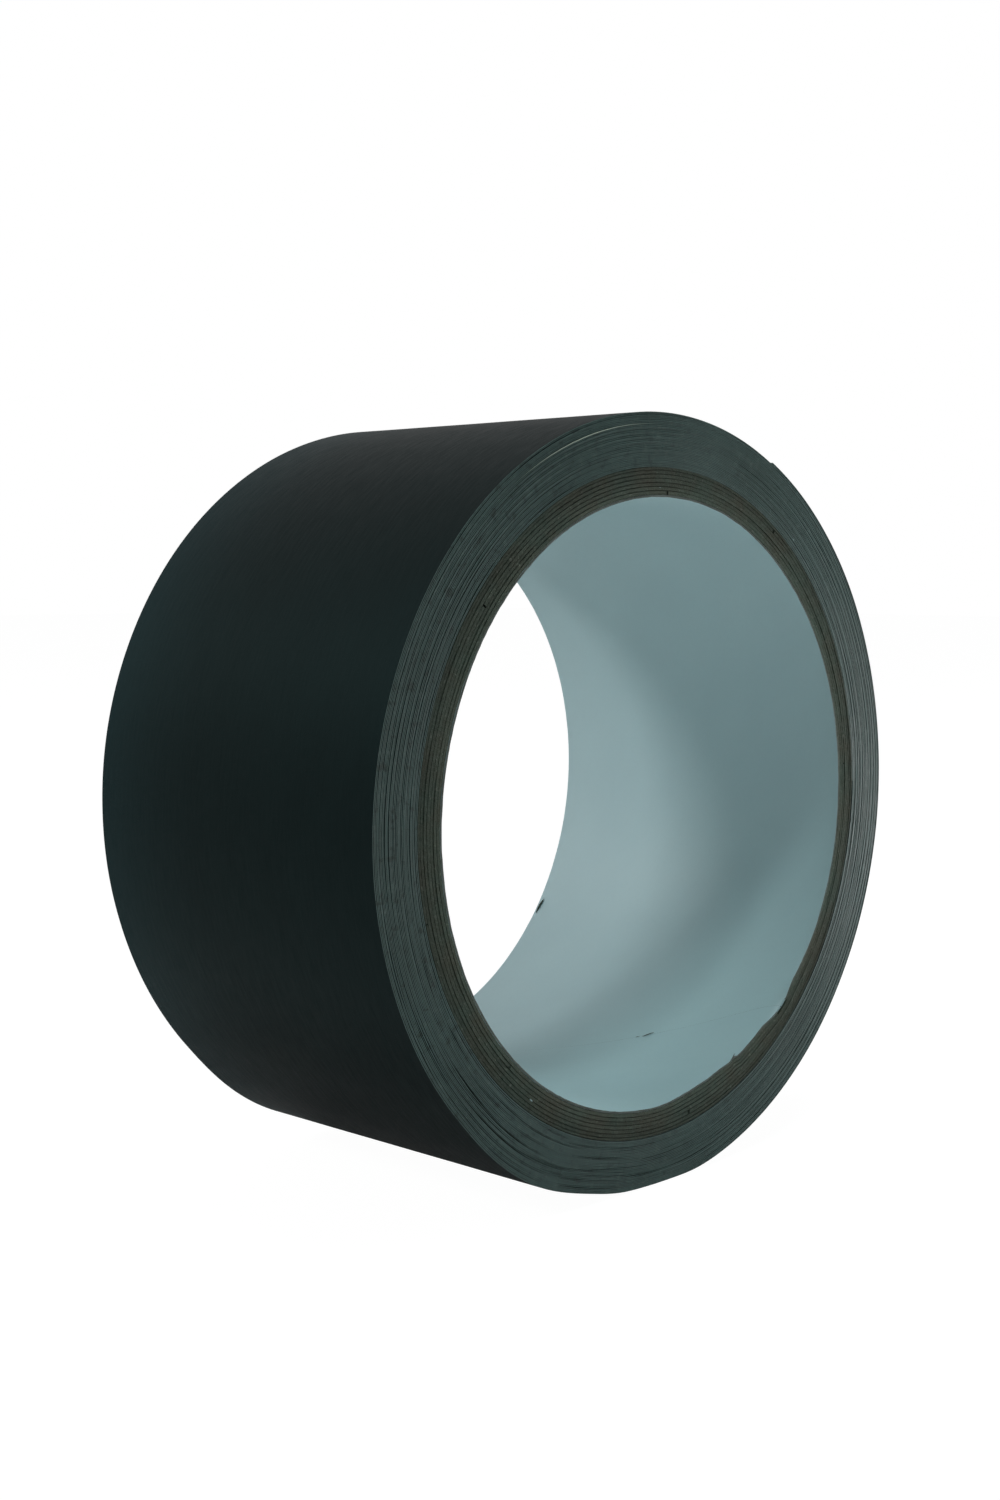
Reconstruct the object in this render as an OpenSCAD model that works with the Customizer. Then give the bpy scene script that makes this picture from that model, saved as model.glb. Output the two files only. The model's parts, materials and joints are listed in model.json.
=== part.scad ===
// Roll of black electrical tape wound on a paperboard core.
//
// The roll lies along Y and stands on its rim, with Z up. The origin is the
// centre of the bore. The tape is one strip: it starts on the core, winds
// outward against the clock as seen from the front (-Y) end, and its free end
// lies on the right-hand (+X) shoulder. The last stretch of the strip is cut
// into short links that hinge on each other, so the free end can be peeled up.

/* [Tape] */
// Width of the tape, which is also the length of the core
tape_w = 50; // [12:1:75]
// Thickness of the backing film
film_t = 0.13; // [0.10:0.01:0.30]
// Thickness of the adhesive coat under the film
adhesive_t = 0.067; // [0.040:0.001:0.100]
// Number of full turns of tape on the core
turns = 35; // [16:1:60]

/* [Core] */
// Diameter of the bore, for a standard 3 inch spindle
bore_d = 76.2; // [25.4:0.1:80]
// Thickness of the white paper ply that lines the bore
liner_t = 0.3; // [0.2:0.05:0.5]
// Thickness of each kraft ply
ply_t = 0.5; // [0.3:0.05:0.8]
// Thickness of the outermost ply, which the tape is stuck to
outer_ply_t = 0.35; // [0.2:0.05:0.6]
// Width of the butt seam where the two edges of a ply meet
seam_w = 0.25; // [0.1:0.05:0.6]

/* [Free end] */
// Angle of the cut edge of the tape, up from the right-hand side
free_end_a = 62.5; // [30:0.5:85]
// Length of each link of the free end, as an angle round the roll
link_a = 9; // [6:0.5:9]
// Gap between the links and the turn that they lie on
lift_gap = 0.05; // [0.02:0.01:0.2]
// Gap between one link and the next
link_gap = 0.02; // [0.01:0.01:0.05]

/* [Foot] */
// How far the outermost turn is pressed flat where the roll stands
press_d = 0.4; // [0.2:0.05:0.6]
// Number of turns, from the outside in, that the pressing reaches
pressed_turns = 14; // [12:1:15]

/* [Hidden] */
$fn = 180;
// the number of links is the number of nodes in each of their lists
LINKS = 8;
KRAFT_PLIES = 6;
PLY_NAMES = [for (i = [1:KRAFT_PLIES]) str("core_ply_", i)];
FILM_NAMES = [for (i = [1:LINKS]) str("end_film_", i)];
ADHESIVE_NAMES = [for (i = [1:LINKS]) str("end_adhesive_", i)];

bore_r = bore_d / 2;
kraft_r = bore_r + liner_t;
outer_ply_r = kraft_r + KRAFT_PLIES * ply_t;
core_r = outer_ply_r + outer_ply_t;
// one turn adds a film and its adhesive to the radius
pitch = film_t + adhesive_t;
roll_r = core_r + turns * pitch;
// where the wound part of the strip ends and the first link begins
peel_a = free_end_a - LINKS * link_a;
// the seams of neighbouring plies are turned well away from each other
liner_seam_a = 300;
seam_step_a = 137.5;
// half of a square that is larger than any section of the roll
far = 2 * roll_r;

LINER_WHITE = [0.80, 0.84, 0.84];
KRAFT_BROWN = [0.42, 0.34, 0.26];
FILM_BLACK = [0.08, 0.09, 0.09];
ADHESIVE_GREY = [0.20, 0.21, 0.20];

// Turns a section drawn in X and Y into a solid along Y, with the section's
// Y as height. The solid is centred on the origin.
module along_roll(length) {
    rotate([90, 0, 0])
        linear_extrude(height = length, center = true)
            children();
}

// A ring between two radii
module ring(r_in, r_out) {
    difference() {
        circle(r = r_out);
        circle(r = r_in);
    }
}

// One ply of the core: a ring with an open butt seam at one angle
module ply(r_in, thickness, seam_a) {
    along_roll(tape_w)
        difference() {
            ring(r_in, r_in + thickness);
            rotate(seam_a)
                translate([r_in - thickness, -seam_w / 2])
                    square([3 * thickness, seam_w]);
        }
}

module core_liner() {
    color(LINER_WHITE)
        ply(bore_r, liner_t, liner_seam_a);
}

module core_ply(i) {
    color(KRAFT_BROWN)
        ply(kraft_r + (i - 1) * ply_t, ply_t, liner_seam_a + i * seam_step_a);
}

module core_outer_ply() {
    color(KRAFT_BROWN)
        ply(outer_ply_r, outer_ply_t, liner_seam_a + (KRAFT_PLIES + 1) * seam_step_a);
}

// How deep turn k is pressed in at the foot: nothing in the inner turns, and
// press_d in the last turn that reaches the foot, which is turn turns - 1
function pressed(k) = press_d * max(0, k - (turns - 1) + pressed_turns) / pressed_turns;

// Half of the section plane: above the X axis, or below it
module half_plane(above) {
    translate([-far, above ? 0 : -far])
        square([2 * far, far]);
}

// A disc that is cut flat at the bottom, and is a full disc when depth is 0
module pressed_disc(r, depth) {
    if (depth > 0)
        intersection() {
            circle(r = r);
            translate([-far, depth - r])
                square([2 * far, 2 * far]);
        }
    else
        circle(r = r);
}

// The upper half of turn k is centred on the bore. A layer lies between two
// depths under the turn's outer face.
module upper_half(k, top, bottom) {
    r = core_r + k * pitch;
    intersection() {
        ring(r - bottom, r - top);
        half_plane(true);
    }
}

// The lower half of turn k is centred half a pitch to the right, so that it
// runs on smoothly from the upper half of turn k into that of turn k + 1.
// The adhesive reaches down to the turn below, which is pressed in less, so
// it is the adhesive that is squeezed thinner at the foot.
module lower_half(k, top, bottom) {
    r = core_r + (k + 1 / 2) * pitch;
    intersection() {
        translate([pitch / 2, 0])
            difference() {
                pressed_disc(r - top, pressed(k));
                pressed_disc(r - bottom, bottom == pitch ? pressed(k - 1) : pressed(k));
            }
        half_plane(false);
    }
}

// The part of a layer on one side of the line where the first link begins
module cut_at_peel(past) {
    intersection() {
        children();
        rotate(peel_a)
            translate([-far, past ? 0 : -far])
                square([2 * far, far]);
    }
}

// One layer of the spiral, from the start of turn first, or from the peel
// line just before it if that is not turn 1, to the peel line in turn last
module spiral_layer(first, last, top, bottom) {
    if (first > 1)
        cut_at_peel(true)
            lower_half(first - 1, top, bottom);
    for (k = [first:last])
        upper_half(k, top, bottom);
    for (k = [first:1:last - 1])
        lower_half(k, top, bottom);
    cut_at_peel(false)
        lower_half(last, top, bottom);
}

module wound_film() {
    color(FILM_BLACK)
        along_roll(tape_w)
            spiral_layer(1, turns - 2, 0, film_t);
}

module wound_adhesive() {
    color(ADHESIVE_GREY)
        along_roll(tape_w)
            spiral_layer(1, turns - 2, film_t, pitch);
}

// The last whole turn, which the free end lies on
module outer_turn_film() {
    color(FILM_BLACK)
        along_roll(tape_w)
            spiral_layer(turns - 1, turns - 1, 0, film_t);
}

module outer_turn_adhesive() {
    color(ADHESIVE_GREY)
        along_roll(tape_w)
            spiral_layer(turns - 1, turns - 1, film_t, pitch);
}

// One layer of link i, as a bar of the ring between two angles. Links are
// counted from the wound tape to the cut edge.
module link_layer(i, top, bottom) {
    r = roll_r + lift_gap;
    trim_a = link_gap / r * 180 / PI;
    rotate([90, 0, 0])
        rotate([0, 0, peel_a + (i - 1) * link_a + trim_a / 2])
            rotate_extrude(angle = link_a - trim_a)
                translate([r - bottom, -tape_w / 2])
                    square([bottom - top, tape_w]);
}

module end_film(i) {
    color(FILM_BLACK)
        link_layer(i, 0, film_t);
}

module end_adhesive(i) {
    color(ADHESIVE_GREY)
        link_layer(i, film_t, pitch);
}

core_liner();
for (i = [1:KRAFT_PLIES])
    core_ply(i);
core_outer_ply();
wound_film();
wound_adhesive();
outer_turn_film();
outer_turn_adhesive();
for (i = [1:LINKS])
    end_film(i);
for (i = [1:LINKS])
    end_adhesive(i);
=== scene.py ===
import json
import math

import bpy
import numpy as np
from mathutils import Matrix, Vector


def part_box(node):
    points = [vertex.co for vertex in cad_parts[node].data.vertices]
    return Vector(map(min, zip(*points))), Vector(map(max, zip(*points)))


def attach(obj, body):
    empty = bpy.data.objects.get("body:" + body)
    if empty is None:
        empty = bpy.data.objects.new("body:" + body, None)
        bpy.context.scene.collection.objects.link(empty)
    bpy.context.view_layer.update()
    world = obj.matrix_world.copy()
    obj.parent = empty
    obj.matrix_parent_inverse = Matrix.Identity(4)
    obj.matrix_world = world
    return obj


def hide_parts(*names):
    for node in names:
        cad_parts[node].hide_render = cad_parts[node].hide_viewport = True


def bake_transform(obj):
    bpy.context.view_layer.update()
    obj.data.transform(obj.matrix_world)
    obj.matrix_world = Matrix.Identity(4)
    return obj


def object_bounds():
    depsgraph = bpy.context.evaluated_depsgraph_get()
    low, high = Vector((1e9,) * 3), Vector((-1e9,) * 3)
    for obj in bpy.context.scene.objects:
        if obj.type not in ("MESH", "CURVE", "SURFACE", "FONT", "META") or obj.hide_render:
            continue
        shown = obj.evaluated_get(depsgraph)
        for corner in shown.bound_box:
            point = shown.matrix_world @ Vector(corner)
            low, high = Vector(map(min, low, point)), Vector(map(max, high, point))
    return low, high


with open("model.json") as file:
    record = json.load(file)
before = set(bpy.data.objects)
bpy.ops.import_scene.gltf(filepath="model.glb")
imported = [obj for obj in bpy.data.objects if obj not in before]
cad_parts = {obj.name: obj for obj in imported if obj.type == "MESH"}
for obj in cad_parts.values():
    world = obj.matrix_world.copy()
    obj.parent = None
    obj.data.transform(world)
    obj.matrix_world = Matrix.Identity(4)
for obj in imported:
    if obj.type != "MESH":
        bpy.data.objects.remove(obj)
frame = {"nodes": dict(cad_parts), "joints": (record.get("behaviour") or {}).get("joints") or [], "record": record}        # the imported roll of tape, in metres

cad_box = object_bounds()

# ---------------------------------------------------------------- sizes
MM = 0.001
TURN = 2 * math.pi
TURNS = 35
FILM_T = 0.13 * MM
ADHESIVE_T = 0.067 * MM
PITCH = FILM_T + ADHESIVE_T
PRESS_D = 0.4 * MM
PRESSED_TURNS = 14
# how round the corners of the pressed foot are, as a share of its depth
FOOT_CORNER = 0.9
KRAFT_PLIES = 6


def outer_radius(node):
    """The largest distance of a CAD node from the axis of the bore."""
    return max(math.hypot(v.co.x, v.co.z) for v in frame["nodes"][node].data.vertices)


def angle_of(point):
    """The angle of a point round the bore, up from the right-hand side."""
    return math.atan2(point[2], point[0])


mounts = {m["name"]: m for m in frame["record"]["mounts"]}
joints = frame["joints"]
BORE_R = mounts["core_bore"]["dims"]["r_mm"] * MM
HALF_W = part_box("core_liner")[1].y
CORE_R = outer_radius("core_outer_ply")
PEEL_A = angle_of(joints[0]["pos_m"])
LINK_A = angle_of(joints[1]["pos_m"]) - PEEL_A
LINKS = len(joints)
# angles along the strip, counted on from its inner end
PEEL_PHI = (TURNS - 1) * TURN + PEEL_A
FREE_PHI = PEEL_PHI + LINKS * LINK_A


# ---------------------------------------------------------------- the strip
def pressed(turn):
    """How deep a turn is pressed flat at the foot."""
    return PRESS_D * np.maximum(0, turn - (TURNS - 1) + PRESSED_TURNS) / PRESSED_TURNS


def on_strip(phi, depth):
    """X and Z of points at an angle phi along the strip and a depth under its outer face.
    Each half turn is an arc, and the lower arcs are centred half a pitch to the right."""
    turn = np.floor(phi / TURN) + 1
    a = np.mod(phi, TURN)
    lower = a >= math.pi
    r = CORE_R + (turn + 0.5 * lower) * PITCH - depth
    x = 0.5 * PITCH * lower + r * np.cos(a)
    depth_in = pressed(turn)
    round_z = r * np.sin(a)
    flat_z = depth_in - r
    corner = np.hypot(round_z - flat_z, FOOT_CORNER * depth_in)
    z = np.where(lower, 0.5 * (round_z + flat_z + corner), round_z)
    return x, z


def drift(t, knots, size, seed):
    """Smooth random wander along t, with so many knots to each unit of t."""
    draw = np.random.RandomState(seed)
    count = int(np.max(t) * knots) + 4
    value = draw.uniform(-size, size, count)
    s = np.clip(t * knots, 0, count - 2)
    i = s.astype(int)
    f = s - i
    f = f * f * (3 - 2 * f)
    return value[i] * (1 - f) + value[i + 1] * f


def bump_at(angle, centre, reach):
    """1 at one angle round the roll, falling smoothly to 0 at reach on each side."""
    away = np.abs(np.mod(angle - centre + math.pi, TURN) - math.pi) / reach
    return np.where(away < 1, (1 - np.minimum(away, 1) ** 2) ** 2, 0)


# ---------------------------------------------------------------- meshes
def slab(name, top, bottom, along, marks):
    """A closed sheet between a top and a bottom grid of points. Rows run round the roll,
    columns from the front end to the back. One UV map holds the distance along and Y, the
    other the place at rest, seen from the front end. Cut faces get the second material.
    Marks run from 0 to 1 and say where the film's edge is painted pale, a painted highlight where a
    raised turn catches the light."""
    rows, cols = top.shape[:2]
    points = np.concatenate([top.reshape(-1, 3), bottom.reshape(-1, 3)])
    upper = np.arange(rows * cols).reshape(rows, cols)
    u = np.repeat(np.asarray(along)[:, None], cols, axis=1)
    under = upper + rows * cols

    def quads(grid, u_grid, flip):
        ring = [(0, 0), (0, 1), (1, 1), (1, 0)]
        ring = ring[::-1] if flip else ring
        h, w = grid.shape
        corners = [grid[a:h - 1 + a, b:w - 1 + b].ravel() for a, b in ring]
        distances = [u_grid[a:h - 1 + a, b:w - 1 + b].ravel() for a, b in ring]
        return np.stack(corners, 1), np.stack(distances, 1)

    sheet = [quads(upper, u, False), quads(under, u, True)]
    cut = [quads(np.stack([under[:, 0], upper[:, 0]], 1), u[:, :2], False),
           quads(np.stack([upper[:, -1], under[:, -1]], 1), u[:, :2], False),
           quads(np.stack([under[0], upper[0]]), u[:2], True),
           quads(np.stack([upper[-1], under[-1]]), u[-2:], True)]
    faces = np.concatenate([part[0] for part in sheet + cut])
    distance = np.concatenate([part[1] for part in sheet + cut]).ravel()
    is_cut = np.zeros(len(faces), np.int32)
    is_cut[sum(len(part[0]) for part in sheet):] = 1

    mesh = bpy.data.meshes.new(name)
    mesh.vertices.add(len(points))
    mesh.vertices.foreach_set("co", points.astype(np.float32).ravel())
    mesh.loops.add(faces.size)
    mesh.loops.foreach_set("vertex_index", faces.astype(np.int32).ravel())
    mesh.polygons.add(len(faces))
    mesh.polygons.foreach_set("loop_start", np.arange(0, faces.size, 4, dtype=np.int32))
    mesh.polygons.foreach_set("material_index", is_cut)
    mesh.update(calc_edges=True)
    corner = points[faces.ravel()]
    for label, pair in (("along_and_across", (distance, corner[:, 1])),
                        ("place_at_rest", (corner[:, 0], corner[:, 2]))):
        layer = mesh.uv_layers.new(name=label)
        layer.data.foreach_set("uv", np.stack(pair, 1).astype(np.float32).ravel())
    # the marks of the painted highlight on the raised edge, kept on the points
    layer = mesh.attributes.new("painted_highlight", "FLOAT", "POINT")
    values = np.concatenate([marks.ravel(), marks.ravel()])
    layer.data.foreach_set("value", values.astype(np.float32))
    mesh.validate()
    mesh.shade_smooth()
    mesh.set_sharp_from_angle(angle=math.radians(35))
    obj = bpy.data.objects.new(name, mesh)
    bpy.context.scene.collection.objects.link(obj)
    return obj


def dressed(obj, slot, *materials):
    """Gives a piece its materials. The slot is not used."""
    for made in materials:
        obj.data.materials.append(made)
    return obj


# ---------------------------------------------------------------- node helpers
def add(tree, kind, feeds=None, **settings):
    """Adds a node, sets its properties, and feeds its inputs with values or sockets."""
    node = tree.nodes.new(kind)
    for key, value in settings.items():
        setattr(node, key, value)
    for key, value in (feeds or {}).items():
        if isinstance(value, bpy.types.NodeSocket):
            tree.links.new(value, node.inputs[key])
        else:
            node.inputs[key].default_value = value
    return node


def math_node(tree, operation, a, b=0.0, clamp=False):
    """A Math node's output."""
    node = add(tree, "ShaderNodeMath", {0: a, 1: b}, operation=operation, use_clamp=clamp)
    return node.outputs[0]


def remap(tree, value, low, high, to_low=0.0, to_high=1.0):
    """Fits a value from one range to another, held at its ends."""
    feeds = {"Value": value, "From Min": low, "From Max": high}
    feeds.update({"To Min": to_low, "To Max": to_high})
    return add(tree, "ShaderNodeMapRange", feeds).outputs["Result"]


def tint(tree, factor, a, b, blend="MIX"):
    """Mixes two colours by a factor."""
    node = add(tree, "ShaderNodeMix", {0: factor}, data_type="RGBA", blend_type=blend)
    for socket, value in ((node.inputs[6], a), (node.inputs[7], b)):
        if isinstance(value, bpy.types.NodeSocket):
            tree.links.new(value, socket)
        else:
            socket.default_value = (*value, 1)
    return node.outputs[2]


def uv(tree, name):
    """A UV map of the piece as a vector."""
    return add(tree, "ShaderNodeUVMap", uv_map=name).outputs["UV"]


def scaled(tree, vector, x, y, z=0.0):
    """A vector with each of its parts scaled."""
    feeds = {0: vector, 1: (x, y, z)}
    node = add(tree, "ShaderNodeVectorMath", feeds, operation="MULTIPLY")
    return node.outputs["Vector"]


def noise(tree, vector, scale, detail=3.0, roughness=0.5):
    """A Noise Texture's value."""
    feeds = {"Vector": vector, "Scale": scale, "Detail": detail, "Roughness": roughness}
    return add(tree, "ShaderNodeTexNoise", feeds).outputs["Fac"]


def group(name, inputs, outputs):
    """An empty node group with float or vector inputs and float outputs."""
    tree = bpy.data.node_groups.new(name, "ShaderNodeTree")
    for label, kind, value in inputs:
        made = tree.interface.new_socket(label, in_out="INPUT", socket_type=kind)
        if kind == "NodeSocketFloat":
            made.default_value = value
    for label in outputs:
        tree.interface.new_socket(label, in_out="OUTPUT", socket_type="NodeSocketFloat")
    return tree, tree.nodes.new("NodeGroupInput"), tree.nodes.new("NodeGroupOutput")


def use(tree, node_group, feeds):
    """Places a node group in a material."""
    return add(tree, "ShaderNodeGroup", feeds, node_tree=node_group)


def material(name, **sockets):
    """A material with one Principled BSDF, whose uniform values are set here."""
    made = bpy.data.materials.new(name)
    made.use_nodes = True
    tree = made.node_tree
    shader = tree.nodes["Principled BSDF"]
    for key, value in sockets.items():
        shader.inputs[key.replace("_", " ")].default_value = value
    return made, tree, shader


def bump(tree, shader, height, distance, strength=1.0):
    """Feeds the shader's normal from a height."""
    feeds = {"Height": height, "Distance": distance, "Strength": strength}
    node = add(tree, "ShaderNodeBump", feeds)
    tree.links.new(node.outputs["Normal"], shader.inputs["Normal"])


# ---------------------------------------------------------------- shared effects
def make_edge_streaks():
    """Light and dark dashes along the cut edge of a wound layer. The first part of the
    vector is the distance along the layer, so every turn gets its own dashes."""
    inputs = [("Vector", "NodeSocketVector", None), ("Dash", "NodeSocketFloat", 0.006)]
    tree, given, out = group("edge_streaks", inputs, ["Streaks", "Nicks"])
    rate = math_node(tree, "DIVIDE", 1.0, given.outputs["Dash"])
    along = add(tree, "ShaderNodeSeparateXYZ", {0: given.outputs["Vector"]}).outputs[0]
    count = math_node(tree, "MULTIPLY", along, rate)
    point = add(tree, "ShaderNodeCombineXYZ", {0: count}).outputs[0]
    long_dash = noise(tree, point, 1.0, 2.0, 0.55)
    short_dash = noise(tree, point, 7.0, 3.0, 0.6)
    both = math_node(tree, "ADD", math_node(tree, "MULTIPLY", long_dash, 0.65),
                     math_node(tree, "MULTIPLY", short_dash, 0.35))
    tree.links.new(remap(tree, both, 0.34, 0.66), out.inputs["Streaks"])
    tree.links.new(remap(tree, short_dash, 0.64, 0.72), out.inputs["Nicks"])
    return tree


def make_rest_patches():
    """Soft blotches fixed to a piece's place at rest on the end of the roll."""
    inputs = [("Vector", "NodeSocketVector", None), ("Size", "NodeSocketFloat", 0.01)]
    tree, given, out = group("rest_patches", inputs, ["Soft", "Fine"])
    rate = math_node(tree, "DIVIDE", 1.0, given.outputs["Size"])
    soft = noise(tree, given.outputs["Vector"], rate, 3.0, 0.55)
    fine = noise(tree, given.outputs["Vector"], math_node(tree, "MULTIPLY", rate, 9.0), 3.0, 0.6)
    tree.links.new(remap(tree, soft, 0.3, 0.7), out.inputs["Soft"])
    tree.links.new(remap(tree, fine, 0.3, 0.7), out.inputs["Fine"])
    return tree


def make_paper_fibres():
    """Long fibres crossing each other, as in board and paper."""
    inputs = [("Vector", "NodeSocketVector", None), ("Length", "NodeSocketFloat", 0.002)]
    tree, given, out = group("paper_fibres", inputs, ["Fibres", "Cloud"])
    rate = math_node(tree, "DIVIDE", 1.0, given.outputs["Length"])
    lanes = []
    for lean in (0.35, -0.6, 1.3):
        turned = add(tree, "ShaderNodeVectorRotate", {0: given.outputs["Vector"], "Angle": lean},
                     rotation_type="Z_AXIS").outputs[0]
        thin = scaled(tree, turned, 1.0, 7.0)
        lanes.append(noise(tree, thin, rate, 3.0, 0.6))
    both = math_node(tree, "MAXIMUM", math_node(tree, "MAXIMUM", lanes[0], lanes[1]), lanes[2])
    cloud = noise(tree, given.outputs["Vector"], math_node(tree, "MULTIPLY", rate, 0.25), 3.0)
    tree.links.new(remap(tree, both, 0.45, 0.75), out.inputs["Fibres"])
    tree.links.new(remap(tree, cloud, 0.3, 0.7), out.inputs["Cloud"])
    return tree


def make_dust():
    """A few small pale specks of dust and lint."""
    inputs = [("Vector", "NodeSocketVector", None), ("Spacing", "NodeSocketFloat", 0.006),
              ("Size", "NodeSocketFloat", 0.05)]
    tree, given, out = group("dust", inputs, ["Specks"])
    rate = math_node(tree, "DIVIDE", 1.0, given.outputs["Spacing"])
    cells = add(tree, "ShaderNodeTexVoronoi", {"Vector": given.outputs["Vector"], "Scale": rate})
    chance = add(tree, "ShaderNodeSeparateColor", {0: cells.outputs["Color"]}).outputs[0]
    kept = math_node(tree, "GREATER_THAN", chance, 0.72)
    near = math_node(tree, "LESS_THAN", cells.outputs["Distance"], given.outputs["Size"])
    tree.links.new(math_node(tree, "MULTIPLY", kept, near), out.inputs["Specks"])
    return tree


EDGE_STREAKS = make_edge_streaks()
REST_PATCHES = make_rest_patches()
PAPER_FIBRES = make_paper_fibres()
DUST = make_dust()


# ---------------------------------------------------------------- materials
def make_black_film():
    """The matte black face of the backing film, with a painted sheen towards its back end."""
    made, tree, shader = material("black_film_face", Specular_IOR_Level=0.14,
                                  Specular_Tint=(0.45, 1.0, 1.0, 1))
    place = uv(tree, "along_and_across")
    grain = noise(tree, place, 5200.0, 2.0, 0.6)
    cloud = noise(tree, scaled(tree, place, 1.0, 2.2), 90.0, 4.0, 0.6)
    scuff = noise(tree, scaled(tree, place, 1.0, 9.0), 260.0, 4.0, 0.65)
    base = tint(tree, remap(tree, cloud, 0.3, 0.7), (0.0013, 0.0043, 0.0045),
                (0.0022, 0.0062, 0.0064))
    base = tint(tree, remap(tree, grain, 0.55, 0.8, 0.0, 0.5), base, (0.008, 0.014, 0.015))
    specks = use(tree, DUST, {"Vector": place, "Spacing": 0.011, "Size": 0.02})
    base = tint(tree, specks.outputs["Specks"], base, (0.16, 0.18, 0.17))
    # painted sheen: the film is painted lighter towards the back end of the roll, standing in for the
    # grazing reflection there
    across = add(tree, "ShaderNodeSeparateXYZ", {0: place}).outputs[1]
    painted_back_sheen = remap(tree, across, 0.002, HALF_W)
    painted_back_sheen = math_node(tree, "MULTIPLY", painted_back_sheen, painted_back_sheen)
    base = tint(tree, math_node(tree, "MULTIPLY", painted_back_sheen, 0.8), base, (0.009, 0.024, 0.027))
    tree.links.new(base, shader.inputs["Base Color"])
    rough = math_node(tree, "ADD", remap(tree, scuff, 0.35, 0.7, 0.44, 0.54),
                      remap(tree, grain, 0.3, 0.7, -0.03, 0.03))
    tree.links.new(rough, shader.inputs["Roughness"])
    height = math_node(tree, "ADD", math_node(tree, "MULTIPLY", grain, 0.6),
                       math_node(tree, "MULTIPLY", scuff, 0.4))
    bump(tree, shader, height, 0.00003, 0.6)
    return made


def make_cut_film():
    """The cut edge of the film: grey where the blade has whitened it, and painted pale along one
    raised turn as a highlight.
    """
    made, tree, shader = material("film_cut_edge", Specular_IOR_Level=0.4)
    streaks = use(tree, EDGE_STREAKS, {"Vector": uv(tree, "along_and_across"), "Dash": 0.011})
    patches = use(tree, REST_PATCHES, {"Vector": uv(tree, "place_at_rest"), "Size": 0.013})
    base = tint(tree, streaks.outputs["Streaks"], (0.053, 0.098, 0.090), (0.102, 0.176, 0.163))
    base = tint(tree, remap(tree, patches.outputs["Soft"], 0.0, 1.0, 0.0, 0.65), base,
                (0.050, 0.089, 0.078))
    base = tint(tree, remap(tree, patches.outputs["Fine"], 0.70, 1.0, 0.0, 0.3), base,
                (0.16, 0.23, 0.21))
    # the dark pits are stronger towards the left side of the end of the roll
    side = add(tree, "ShaderNodeSeparateXYZ", {0: uv(tree, "place_at_rest")}).outputs[0]
    left_side_share = remap(tree, side, -0.03, 0.035, 1.0, 0.35)
    pits = remap(tree, patches.outputs["Fine"], 0.32, 0.08, 0.0, 0.7)
    base = tint(tree, math_node(tree, "MULTIPLY", pits, left_side_share), base,
                (0.030, 0.050, 0.044))
    # painted highlight: the proud front edge of the raised turn is painted pale where it catches the
    # light
    pale = add(tree, "ShaderNodeAttribute", attribute_name="painted_highlight").outputs["Fac"]
    base = tint(tree, pale, base, (0.46, 0.54, 0.46))
    tree.links.new(base, shader.inputs["Base Color"])
    rough = remap(tree, streaks.outputs["Streaks"], 0.0, 1.0, 0.42, 0.68)
    tree.links.new(rough, shader.inputs["Roughness"])
    bump(tree, shader, streaks.outputs["Streaks"], 0.00006, 0.7)
    return made


def make_adhesive():
    """The grey rubber adhesive between the turns."""
    made, tree, shader = material("grey_adhesive", Specular_IOR_Level=0.5)
    streaks = use(tree, EDGE_STREAKS, {"Vector": uv(tree, "along_and_across"), "Dash": 0.017})
    patches = use(tree, REST_PATCHES, {"Vector": uv(tree, "place_at_rest"), "Size": 0.009})
    base = tint(tree, streaks.outputs["Streaks"], (0.036, 0.066, 0.061), (0.078, 0.128, 0.120))
    base = tint(tree, remap(tree, patches.outputs["Fine"], 0.6, 1.0, 0.0, 0.5), base,
                (0.17, 0.20, 0.18))
    tree.links.new(base, shader.inputs["Base Color"])
    tack = noise(tree, uv(tree, "along_and_across"), 900.0, 4.0, 0.6)
    tree.links.new(remap(tree, tack, 0.3, 0.7, 0.25, 0.55), shader.inputs["Roughness"])
    bump(tree, shader, tack, 0.00008, 0.5)
    return made


def make_kraft():
    """Brown kraft board, dark and fibrous."""
    made, tree, shader = material("kraft_board", Specular_IOR_Level=0.25)
    streaks = use(tree, EDGE_STREAKS, {"Vector": uv(tree, "along_and_across"), "Dash": 0.009})
    patches = use(tree, REST_PATCHES, {"Vector": uv(tree, "place_at_rest"), "Size": 0.006})
    fibres = use(tree, PAPER_FIBRES, {"Vector": uv(tree, "place_at_rest"), "Length": 0.0012})
    base = tint(tree, streaks.outputs["Streaks"], (0.049, 0.068, 0.054), (0.097, 0.130, 0.103))
    base = tint(tree, remap(tree, patches.outputs["Soft"], 0.2, 0.9, 0.0, 0.65), base,
                (0.093, 0.080, 0.058))
    base = tint(tree, math_node(tree, "MULTIPLY", fibres.outputs["Fibres"], 0.35), base,
                (0.18, 0.215, 0.165))
    base = tint(tree, remap(tree, patches.outputs["Fine"], 0.8, 1.0, 0.0, 0.4), base,
                (0.27, 0.29, 0.24))
    out = add(tree, "ShaderNodeVectorMath", {0: uv(tree, "place_at_rest")}, operation="LENGTH")
    shade = remap(tree, out.outputs["Value"], BORE_R, CORE_R, 1.15, 0.72)
    shade = add(tree, "ShaderNodeCombineXYZ", {0: shade, 1: shade, 2: shade}).outputs[0]
    base = add(tree, "ShaderNodeVectorMath", {0: base, 1: shade}, operation="MULTIPLY").outputs[0]
    tree.links.new(base, shader.inputs["Base Color"])
    rough = remap(tree, fibres.outputs["Fibres"], 0.0, 1.0, 0.9, 0.7)
    tree.links.new(rough, shader.inputs["Roughness"])
    height = math_node(tree, "ADD", fibres.outputs["Fibres"], patches.outputs["Fine"])
    bump(tree, shader, height, 0.00008, 0.8)
    return made


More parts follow.
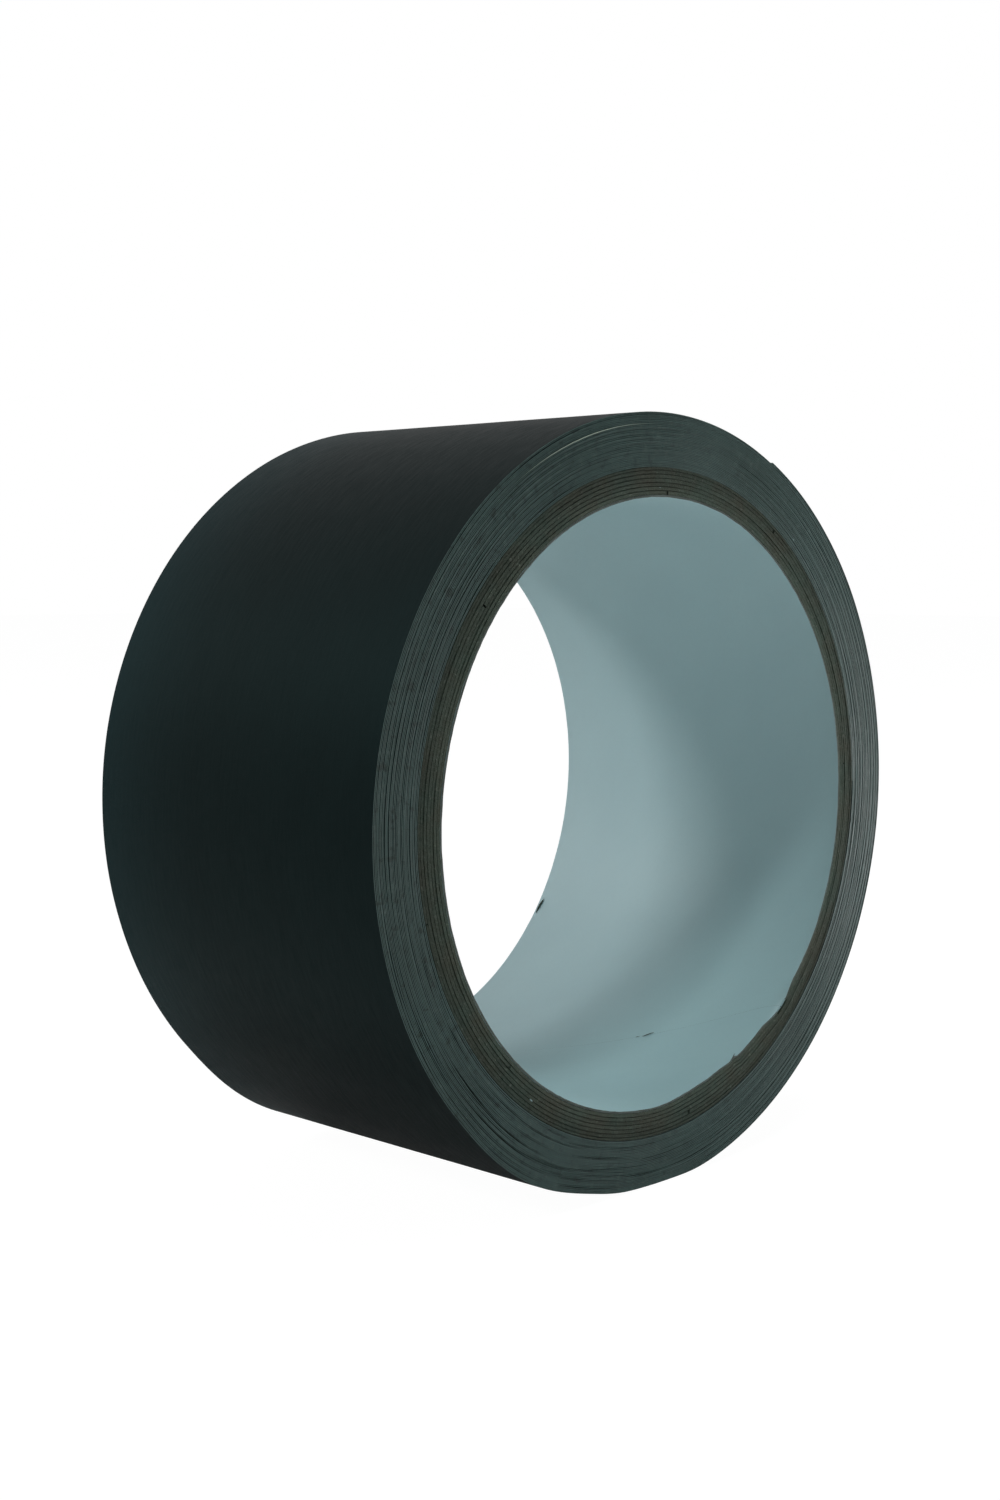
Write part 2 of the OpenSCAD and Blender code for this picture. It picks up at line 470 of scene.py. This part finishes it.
def make_liner_paper():
    """Smooth white paper that lines the bore."""
    made, tree, shader = material("white_liner_paper", Specular_IOR_Level=0.5)
    place = uv(tree, "along_and_across")
    fibres = use(tree, PAPER_FIBRES, {"Vector": place, "Length": 0.0016})
    stain = noise(tree, place, 42.0, 4.0, 0.55)
    base = tint(tree, remap(tree, stain, 0.3, 0.7), (0.505, 0.665, 0.695), (0.545, 0.71, 0.735))
    base = tint(tree, math_node(tree, "MULTIPLY", fibres.outputs["Fibres"], 0.18), base,
                (0.45, 0.60, 0.62))
    base = tint(tree, math_node(tree, "MULTIPLY", fibres.outputs["Cloud"], 0.12), base,
                (0.60, 0.765, 0.785))
    tree.links.new(base, shader.inputs["Base Color"])
    rough = remap(tree, fibres.outputs["Fibres"], 0.0, 1.0, 0.42, 0.5)
    tree.links.new(rough, shader.inputs["Roughness"])
    bump(tree, shader, fibres.outputs["Fibres"], 0.00002, 0.5)
    return made


def make_liner_edge():
    """The cut edge of the liner, much darker than the white face of the paper."""
    made, tree, shader = material("liner_cut_edge", Specular_IOR_Level=0.3)
    streaks = use(tree, EDGE_STREAKS, {"Vector": uv(tree, "along_and_across"), "Dash": 0.005})
    base = tint(tree, streaks.outputs["Streaks"], (0.075, 0.085, 0.070), (0.18, 0.205, 0.19))
    tree.links.new(base, shader.inputs["Base Color"])
    rough = remap(tree, streaks.outputs["Nicks"], 0.0, 1.0, 0.75, 0.9)
    tree.links.new(rough, shader.inputs["Roughness"])
    bump(tree, shader, streaks.outputs["Streaks"], 0.00008, 0.7)
    return made


BLACK_FILM = make_black_film()
CUT_FILM = make_cut_film()
ADHESIVE = make_adhesive()
KRAFT = make_kraft()
LINER = make_liner_paper()
LINER_EDGE = make_liner_edge()


# ---------------------------------------------------------------- the wound tape
ROLL_R = CORE_R + TURNS * PITCH
LIFT_GAP = outer_radius("end_film_4") - ROLL_R
# where the roll has settled out of round: (angle, reach, how far in, in mm)
SETTLED = [(-18, 32, 0.14), (13, 30, 0.16), (257, 14, 0.20), (239, 17, -0.50)]
# cracks between turns at the front end: (turn, angle, reach, width in mm)
CRACKS = [(22, 231, 13, 0.11), (16, 221, 10, 0.12), (17, 232, 12, 0.11)]
# the turn whose front edge stands proud at the end of the roll, where it is also painted pale as a
# highlight
RAISED_TURN = 27
RAISED_A = math.radians(108)
RAISED_REACH = math.radians(17)
# how far the tape's edge lies inside the end of the roll, and how far it wanders
EDGE_INSET = 0.11 * MM
EDGE_LEAST = 0.01 * MM
# how much further in the adhesive lies, and how far it is drawn back along a crack
GLUE_INSET = 0.05 * MM
GLUE_WANDER = 0.07 * MM
GLUE_DRAWN_BACK = 7


def distance_along(phi):
    """How far along the strip an angle is."""
    return CORE_R * phi + PITCH * phi ** 2 / (2 * TURN)


def settling(phi, x, z):
    """Moves points of the tape in where the roll has settled, most at the outside."""
    r = np.hypot(x, z)
    share = np.clip((r - CORE_R) / (ROLL_R - CORE_R), 0, 1)
    depth = sum(d * MM * bump_at(phi, math.radians(a), math.radians(w)) for a, w, d in SETTLED)
    keep = 1 - depth * share / r
    return x * keep, z * keep


def strip_points(phi, depth, y, rise=0.0):
    """Points on the strip: rows by angle, columns by Y."""
    x, z = on_strip(phi[:, None], depth + 0 * y)
    grow = 1 + rise / np.hypot(x, z)
    x, z = settling(phi[:, None], x * grow, z * grow)
    return np.stack([x, y, z], 2)


def tape_edge(phi, seed):
    """How far the strip's edge lies inside the end of the roll, wandering along it."""
    slow = drift(phi, 0.8, 0.035 * MM, seed)
    quick = drift(phi, 5.0, 0.022 * MM, seed + 1)
    each_turn = drift(phi / TURN, 1.0, 0.04 * MM, seed + 2)
    return np.maximum(EDGE_INSET + slow + quick + each_turn, EDGE_LEAST)


def crack_depth(phi):
    """How far the film's outer face is pinched in at the front edge where turns part."""
    draw = np.random.RandomState(41)
    pinch = np.zeros_like(phi)
    spots = [((turn - 1) * TURN + math.radians(a), math.radians(w), d * MM)
             for turn, a, w, d in CRACKS]
    for _ in range(90):
        turn = draw.randint(3, TURNS - 2)
        lower_left = draw.rand() < 0.62
        a = draw.uniform(195, 275) if lower_left else draw.uniform(0, 360)
        size = draw.uniform(0.03, 0.085) if lower_left else draw.uniform(0.015, 0.05)
        spots.append(((turn - 1) * TURN + math.radians(a),
                      math.radians(draw.uniform(2.5, 9)), size * MM))
    for centre, reach, size in spots:
        away = np.abs(phi - centre) / reach
        pinch = np.maximum(pinch, size * np.where(away < 1, (1 - away ** 2) ** 2, 0))
    return pinch


def edge_columns(front, back, inner):
    """Y of each column: the two cut edges, and columns between them."""
    rows = len(front)
    y = np.empty((rows, len(inner) + 2))
    y[:, 0] = -HALF_W + front
    y[:, -1] = HALF_W - back
    y[:, 1:-1] = np.array(inner)[None, :] * HALF_W
    return y


def wound_layer(name, first, last, step, inner, adhesive, wavy=0.0):
    """One layer of the strip, from one angle along it to another."""
    count = int(round((last - first) / math.radians(step))) + 1
    phi = np.linspace(first, last, count)
    pinch = crack_depth(phi)
    front = tape_edge(phi, 11)
    back = tape_edge(phi, 23)
    raised = bump_at(phi, RAISED_A, RAISED_REACH)
    raised = raised * (np.abs(phi - (RAISED_TURN - 1) * TURN - RAISED_A) < math.pi)
    if adhesive:
        front = front + GLUE_INSET + np.abs(drift(phi, 6.0, GLUE_WANDER, 31))
        front = front + GLUE_DRAWN_BACK * pinch
        back = back + GLUE_INSET + np.abs(drift(phi, 6.0, GLUE_WANDER, 37))
    else:
        front = front * (1 - np.sqrt(raised))
    y = edge_columns(front, back, inner)
    near_front = np.exp(-(y + HALF_W) / (1.0 * MM))
    top = (FILM_T if adhesive else 0.0) + 0 * y
    bottom = (PITCH if adhesive else FILM_T) + 0 * y
    if not adhesive:
        top = top + pinch[:, None] * near_front
    ripple = wavy * ripples(phi, y)
    # where the proud edge of the raised turn is painted pale as a highlight
    marks = raised[:, None] * (y < -HALF_W + 0.5 * MM)
    return slab(name, strip_points(phi, top + ripple, y), strip_points(phi, bottom + ripple, y),
                distance_along(phi), marks=marks)


def ripples(phi, y):
    """Slight unevenness of the outer face, from 0 to 1."""
    s = phi[:, None]
    across = y / HALF_W
    long_wave = np.sin(5.3 * s + 1.7 * across + 0.6) * np.cos(2.1 * across + 0.8 * s)
    short_wave = np.sin(17.1 * s - 3.9 * across) * np.sin(6.2 * across + 2.3 * s + 1.0)
    return 0.5 + 0.3 * long_wave + 0.2 * short_wave


def tape_pieces():
    """The wound turns, and the outer turn with a finer mesh."""
    start_of_outer = (TURNS - 2) * TURN + TAIL_A
    end_of_outer = (TURNS - 1) * TURN + TAIL_A
    edges = [-0.985, -0.93, 0.93, 0.985]
    across = list(np.linspace(-0.985, 0.985, 34))
    film = wound_layer("wound_turns_film", 0.0, start_of_outer, 2.5, edges, False)
    glue = wound_layer("wound_turns_adhesive", 0.0, start_of_outer, 2.5, edges, True)
    outer = wound_layer("outer_turn_face", start_of_outer, end_of_outer, 1.0, across, False,
                        0.03 * MM)
    outer_glue = wound_layer("outer_turn_glue", start_of_outer, end_of_outer, 1.0, edges, True)
    for obj, node in ((film, "wound_film"), (outer, "outer_turn_film")):
        dressed(obj, "black_tape_film", BLACK_FILM, CUT_FILM)
        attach(obj, "roll")
        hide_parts(node)
    for obj, node in ((glue, "wound_adhesive"), (outer_glue, "outer_turn_adhesive")):
        dressed(obj, "tape_adhesive", ADHESIVE, ADHESIVE)
        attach(obj, "roll")
        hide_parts(node)


# ---------------------------------------------------------------- the free end
# the free end starts to rise half a link before its first hinge
TAIL_A = PEEL_A - math.radians(4.5)
RISE_REACH = math.radians(9)


def tail_rise(phi):
    """How far the free end stands off the turn below it."""
    a = phi - (TURNS - 1) * TURN
    t = np.clip((a - TAIL_A) / RISE_REACH, 0, 1)
    return LIFT_GAP * t * t * (3 - 2 * t)


def tail_layer(name, first, last, adhesive):
    """One piece of the free end between two angles along the strip."""
    count = int(round((last - first) / math.radians(0.5))) + 1
    phi = np.linspace(first, last, count)
    front = tape_edge(phi, 11)
    back = tape_edge(phi, 23)
    if adhesive:
        front = front + 0.09 * MM
        back = back + 0.09 * MM
    y = edge_columns(front, back, list(np.linspace(-0.985, 0.985, 34)))
    top = (FILM_T if adhesive else 0.0) + 0 * y
    bottom = (PITCH if adhesive else FILM_T) + 0 * y
    ripple = 0.02 * MM * ripples(phi, y)
    rise = tail_rise(phi)[:, None]
    return slab(name, strip_points(phi, top + ripple, y, rise),
                strip_points(phi, bottom + ripple, y, rise), distance_along(phi),
                marks=0 * y)


def tail_pieces():
    """Pieces of the free end, each from the middle of one link to the next. The last is attached to
    the last link's body; the others stay where they are made.
    """
    middles = [PEEL_A + (i + 0.5) * LINK_A for i in range(LINKS)]
    cuts = [TAIL_A] + middles + [FREE_PHI - (TURNS - 1) * TURN]
    bodies = ["roll"] + ["end_%d" % (i + 1) for i in range(LINKS)]
    for i in range(LINKS + 1):
        first = (TURNS - 1) * TURN + cuts[i]
        last = (TURNS - 1) * TURN + cuts[i + 1]
        film = tail_layer("free_end_face_%d" % i, first, last, False)
        glue = tail_layer("free_end_glue_%d" % i, first, last, True)
        dressed(film, "black_tape_film", BLACK_FILM, CUT_FILM)
        dressed(glue, "tape_adhesive", ADHESIVE, ADHESIVE)
        for obj, kind in ((film, "film"), (glue, "adhesive")):
            if i < LINKS:
                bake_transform(obj)
            else:
                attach(obj, bodies[i])
            near = [n for n in (i, i + 1) if 1 <= n <= LINKS]
            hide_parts(*["end_%s_%d" % (kind, n) for n in near])


tape_pieces()
tail_pieces()


# ---------------------------------------------------------------- the core
# how far the bore's front edge is bent out (+) or in (-), by angle: (angle, reach, mm)
BENT_EDGE = [(-49, 7, 0.75), (-26, 34, 0.72), (14, 40, 0.33), (60, 30, 0.12),
             (-78, 12, -0.42), (-70, 6, -0.25), (-66.2, 1.6, -0.30), (150, 70, -0.12)]
NOTCH_A = math.radians(-48.7)
NOTCH_REACH = math.radians(1.8)
NOTCH_D = 1.3 * MM
# only the plies nearest the bore are notched
NOTCHED_SHARE = 0.8
# how far into the bore the bent edge reaches
BEND_REACH = 1.3 * MM
# how far round a ply's seam turns for each length along the bore
HELIX = 0.66
# the gap left free on each face of a kraft ply, and the open width of its seam
PLY_GAP = 0.01 * MM
SEAM_W = 0.25 * MM
LINER_SEAM_W = 0.012 * MM
SEAM_STEP = math.radians(137.5)
LINER_T = 0.3 * MM
PLY_T = 0.5 * MM
OUTER_PLY_T = 0.35 * MM


def bent(a):
    """How far out the bore's front edge is bent at an angle."""
    return sum(d * MM * bump_at(a, math.radians(c), math.radians(w)) for c, w, d in BENT_EDGE)


def ply(name, r_in, thickness, seam, gap, step, columns, seed, recess):
    """One ply of the core: a sheet wound in a slope, whose two edges meet in a butt seam."""
    rows = int(round(360 / step)) + 1
    half_gap = 0.5 * gap / r_in
    turn = np.linspace(half_gap, TURN - half_gap, rows)
    front = recess + np.abs(drift(turn, 4.0, 0.05 * MM, seed))
    front = front + np.abs(drift(turn, 30.0, 0.03 * MM, seed + 1))
    back = recess + np.abs(drift(turn, 4.0, 0.05 * MM, seed + 2))
    back = back + np.abs(drift(turn, 30.0, 0.03 * MM, seed + 3))
    y = edge_columns(front, back, columns)
    a = seam + turn[:, None] - HELIX * (y + HALF_W) / r_in
    notch = bump_at(a[:, 0], NOTCH_A, NOTCH_REACH)
    share_in = (CORE_R - r_in) / (CORE_R - BORE_R)
    share_out = (CORE_R - r_in - thickness) / (CORE_R - BORE_R)
    y[:, 0] += NOTCH_D * notch * (share_in > NOTCHED_SHARE)
    near_front = np.exp(-(y + HALF_W) / BEND_REACH)
    move = bent(a) * near_front
    rough = np.abs(drift(turn, 25.0, 0.05 * MM, seed + 5))[:, None] * (near_front > 0.9)
    near_edge = np.exp(-np.minimum(y + HALF_W, HALF_W - y) / (0.12 * MM))
    round_off = 0.03 * MM * near_edge * (1 if thickness > 0.4 * MM else 0.5)
    r_bottom = r_in + move * share_in + round_off + rough
    r_top = r_in + thickness + move * share_out - round_off
    r_top = np.maximum(r_top, r_bottom + 0.08 * MM)

    def points(r):
        return np.stack([r * np.cos(a), y, r * np.sin(a)], 2)

    return slab(name, points(r_top), points(r_bottom), r_in * turn, marks=0 * y)


def core_pieces():
    """The liner, the kraft plies and the outer ply, each seam turned away from the last."""
    edge = [-0.996, -0.99, -0.98, -0.965, -0.945, -0.92]
    fine = edge + list(np.linspace(-0.88, 0.96, 37)) + [0.98, 0.99, 0.996]
    coarse = edge + list(np.linspace(-0.86, 0.94, 19)) + [0.98, 0.99, 0.996]
    liner = ply("liner_paper", BORE_R, LINER_T, NOTCH_A, LINER_SEAM_W, 0.5, fine, 101,
                0.06 * MM)
    dressed(liner, "white_liner_paper", LINER, LINER_EDGE)
    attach(liner, "roll")
    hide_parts("core_liner")
    r = BORE_R + LINER_T
    seam = NOTCH_A
    names = ["kraft_paper_%d" % (i + 1) for i in range(KRAFT_PLIES)] + ["tape_bed_paper"]
    nodes = ["core_ply_%d" % (i + 1) for i in range(KRAFT_PLIES)] + ["core_outer_ply"]
    for i, (name, node) in enumerate(zip(names, nodes)):
        thickness = OUTER_PLY_T if node == "core_outer_ply" else PLY_T
        seam += SEAM_STEP
        sheet = ply(name, r + PLY_GAP, thickness - 2 * PLY_GAP, seam, SEAM_W, 1.0, coarse,
                    120 + 10 * i, (0.05 + 0.03 * (i % 3)) * MM)
        dressed(sheet, "kraft_board", KRAFT, KRAFT)
        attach(sheet, "roll")
        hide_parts(node)
        r += thickness


core_pieces()


# ---------------------------------------------------------------- small marks
def sliver(name, start, end, width, bow, slot, made):
    """A thin tapered shred from one point to another, bowed to the middle by a vector."""
    start, end, bow = (np.array(v, float) * MM for v in (start, end, bow))
    steps, sides = 9, 6
    along = end - start
    along_unit = along / np.linalg.norm(along)
    aside = np.cross(along_unit, (0.3, 0.5, 0.81))
    aside /= np.linalg.norm(aside)
    above = np.cross(along_unit, aside)
    verts = []
    for i in range(steps + 1):
        t = i / steps
        middle = start + t * along + bow * 4 * t * (1 - t)
        half = 0.5 * width * MM * (0.12 + 0.88 * math.sin(math.pi * t) ** 0.6)
        for j in range(sides):
            turn = TURN * j / sides
            verts.append(middle + half * (aside * math.cos(turn) + 0.45 * above * math.sin(turn)))
    faces = [tuple(range(sides))[::-1], tuple(range(steps * sides, (steps + 1) * sides))]
    for i in range(steps):
        for j in range(sides):
            k = (j + 1) % sides
            faces.append((i * sides + j, i * sides + k, (i + 1) * sides + k, (i + 1) * sides + j))
    mesh = bpy.data.meshes.new(name)
    mesh.from_pydata([tuple(v) for v in verts], [], faces)
    mesh.shade_smooth()
    for label in ("along_and_across", "place_at_rest"):
        layer = mesh.uv_layers.new(name=label)
        for loop in mesh.loops:
            co = mesh.vertices[loop.vertex_index].co
            layer.data[loop.index].uv = (co.x + co.z, co.y + 0.3 * co.z)
    obj = bpy.data.objects.new(name, mesh)
    bpy.context.scene.collection.objects.link(obj)
    dressed(obj, slot, made)
    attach(obj, "roll")


def at(degrees, r, y):
    """A point in millimetres, at an angle and a radius round the bore."""
    a = math.radians(degrees)
    return (r * math.cos(a), y, r * math.sin(a))


def shreds():
    """Shreds of kraft and liner that the slitting knife left."""
    front_y = -HALF_W / MM + 0.1
    still = (0, 0, 0)
    kraft = [
        ("shred_on_liner_a", at(-65.3, 38.0, -8.9), at(-63.3, 38.0, -10.0), 0.20,
         at(116, 0.05, 0)),
        ("shred_on_liner_b", at(-65.9, 38.0, -8.0), at(-65.5, 38.0, -8.5), 0.12,
         at(116, 0.04, 0)),
        ("back_edge_tuft_a", at(-37.4, 38.05, 24.5), at(-33.6, 38.0, 24.1), 0.42,
         at(145, 0.10, 0)),
        ("back_edge_tuft_b", at(49.4, 38.0, 24.2), at(50.6, 37.8, 23.6), 0.22,
         at(230, 0.06, 0)),
        ("bore_edge_tuft", at(-66.8, 38.0, -24.85), at(-65.2, 37.6, -24.85), 0.24,
         at(114, 0.02, 0)),
    ]
    white = [
        ("liner_fleck_top", at(90.2, 39.2, front_y + 0.05), at(91.5, 39.3, front_y + 0.06), 0.13),
        ("liner_fleck_left", at(104.4, 38.2, front_y + 0.1), at(106.0, 38.15, front_y + 0.2), 0.30),
        ("liner_fleck_low", at(-126.0, 40.4, front_y + 0.05), at(-125.1, 40.45, front_y + 0.06),
         0.24),
        ("liner_fleck_foot", at(-97.5, 40.2, front_y + 0.05), at(-96.5, 40.2, front_y + 0.06),
         0.20),
        ("liner_fleck_right", at(50.2, 42.95, front_y + 0.1), at(50.9, 43.15, front_y + 0.12),
         0.16),
    ]
    for name, start, end, width, bow in kraft:
        sliver(name, start, end, width, bow, "kraft_board", KRAFT)
    for name, start, end, width in white:
        sliver(name, start, end, width, still, "white_liner_paper", LINER)


shreds()


# ---------------------------------------------------------------- floor, light, camera
FLOOR_REACH = 3.0
FLOOR_GLOW = 1.09
COOL_WHITE = (0.84, 1.0, 1.0)
LENS = 48.02
CAMERA_AT = (-0.19181, -0.18246, 0.02885)
CAMERA_BACK = (-0.71626, -0.69223, 0.08819)


def make_floor():
    """A plain pale floor under the roll, flat and wide."""
    mesh = bpy.data.meshes.new("floor")
    z = cad_box[0].z
    corners = [(x * FLOOR_REACH, y * FLOOR_REACH, z) for x, y in ((-1, -1), (1, -1), (1, 1), (-1, 1))]
    mesh.from_pydata(corners, [], [(0, 1, 2, 3)])
    floor = bpy.data.objects.new("floor", mesh)
    bpy.context.scene.collection.objects.link(floor)
    made = bpy.data.materials.new("pale_floor")
    made.use_nodes = True
    tree = made.node_tree
    tree.nodes.remove(tree.nodes["Principled BSDF"])
    diffuse = add(tree, "ShaderNodeBsdfDiffuse", {"Color": (0.8, 0.8, 0.8, 1)})
    glow = add(tree, "ShaderNodeEmission", {"Color": (1, 1, 1, 1), "Strength": FLOOR_GLOW})
    seen = add(tree, "ShaderNodeLightPath").outputs["Is Camera Ray"]
    share = math_node(tree, "MULTIPLY", seen, 0.9)
    mixed = add(tree, "ShaderNodeMixShader", {0: share, 1: diffuse.outputs[0], 2: glow.outputs[0]})
    tree.links.new(mixed.outputs[0], tree.nodes["Material Output"].inputs["Surface"])
    mesh.materials.append(made)


def make_lamp(name, towards, apart, size, power, colour=(1, 1, 1)):
    """A round lamp in a direction from the roll, facing it."""
    light = bpy.data.lights.new(name, "AREA")
    light.shape = "DISK"
    light.size = size
    light.energy = power
    light.color = colour
    lamp = bpy.data.objects.new(name, light)
    direction = Vector(towards).normalized()
    lamp.location = direction * apart
    lamp.rotation_euler = direction.to_track_quat("Z", "Y").to_euler()
    lamp.visible_camera = False
    bpy.context.scene.collection.objects.link(lamp)


def make_world(strength):
    """White all round to the camera, and a soft light on the roll from behind it."""
    world = bpy.data.worlds.new("studio")
    bpy.context.scene.world = world
    world.use_nodes = True
    tree = world.node_tree
    background = tree.nodes["Background"]
    background.inputs["Color"].default_value = (1, 1, 1, 1)
    seen = add(tree, "ShaderNodeLightPath").outputs["Is Camera Ray"]
    towards = add(tree, "ShaderNodeTexCoord").outputs["Generated"]
    y = add(tree, "ShaderNodeSeparateXYZ", {0: towards}).outputs[1]
    behind = remap(tree, y, 0.0, 0.6, 0.0, strength)
    unseen = math_node(tree, "SUBTRACT", 1.0, seen)
    tree.links.new(math_node(tree, "ADD", math_node(tree, "MULTIPLY", behind, unseen), seen),
                   background.inputs["Strength"])


def make_camera():
    """The camera, at the front and left of the roll and a little above its middle."""
    lens = bpy.data.cameras.new("camera")
    lens.sensor_fit = "AUTO"
    lens.sensor_width = 36
    lens.lens = LENS
    lens.clip_start = 0.01
    camera = bpy.data.objects.new("camera", lens)
    camera.location = CAMERA_AT
    camera.rotation_euler = Vector(CAMERA_BACK).normalized().to_track_quat("Z", "Y").to_euler()
    bpy.context.scene.collection.objects.link(camera)
    bpy.context.scene.camera = camera


make_floor()
make_lamp("side_lamp", (-0.759, 0.33, 0.532), 1.3, 0.30, 4.8)
make_lamp("top_lamp", (0.0, -0.30, 0.954), 1.3, 0.30, 5.0, COOL_WHITE)
make_lamp("fill_lamp", (0.17, -0.13, -0.02), 0.215, 0.05, 0.12)
make_world(0.43)
make_camera()
bpy.context.scene.view_settings.view_transform = "Standard"
